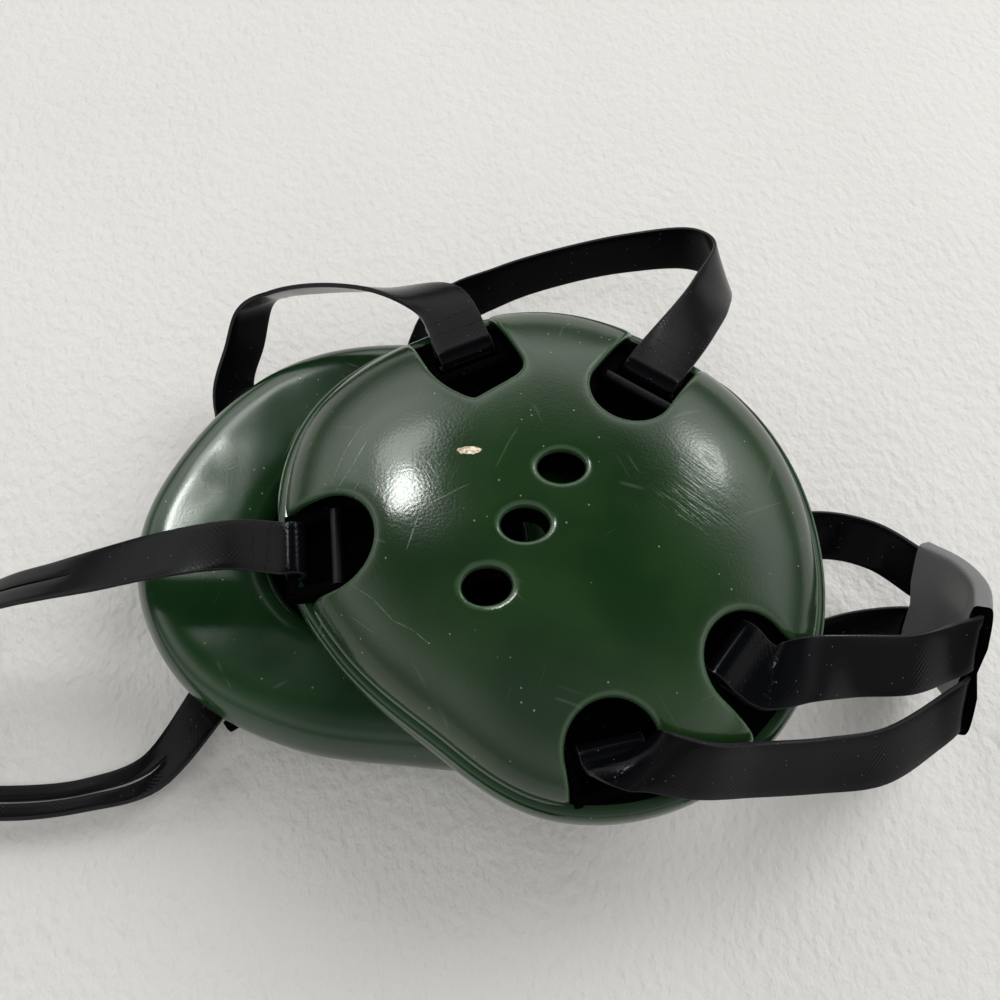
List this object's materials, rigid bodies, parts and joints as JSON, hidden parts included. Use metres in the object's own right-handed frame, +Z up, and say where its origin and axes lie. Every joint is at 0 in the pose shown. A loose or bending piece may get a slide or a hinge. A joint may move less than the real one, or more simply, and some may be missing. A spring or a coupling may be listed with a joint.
{
  "type": "wrestling ear guard",
  "caption": "Wrestling ear guard lying folded: domed vinyl ear cups with padded rings, webbing straps with a keeper behind the head, and a slit chin strap.",
  "frame": {"origin": "bottom centre of the whole guard's box, on the surface that it lies on", "axes": "+Z up from the surface, +X from the chin strap towards the rear straps, +Y towards the crown strap"},
  "size_m": [0.276, 0.1636, 0.0738],
  "materials": {
    "green_vinyl": "glossy moulded vinyl skin",
    "pad_vinyl": "glossy soft vinyl over foam",
    "black_plastic": "moulded satin",
    "black_webbing": "vinyl-coated webbing"
  },
  "bodies": {
    "root": {"left_shell": "green_vinyl", "left_frame": "black_plastic", "left_pad": "pad_vinyl", "right_shell": "green_vinyl", "right_frame": "black_plastic", "right_pad": "pad_vinyl", "forehead_strap": "black_webbing", "crown_strap": "black_webbing", "chin_strap": "black_webbing", "rear_upper_strap": "black_webbing", "rear_lower_strap": "black_webbing", "strap_keeper": "black_webbing"}
  },
  "joints": []
}
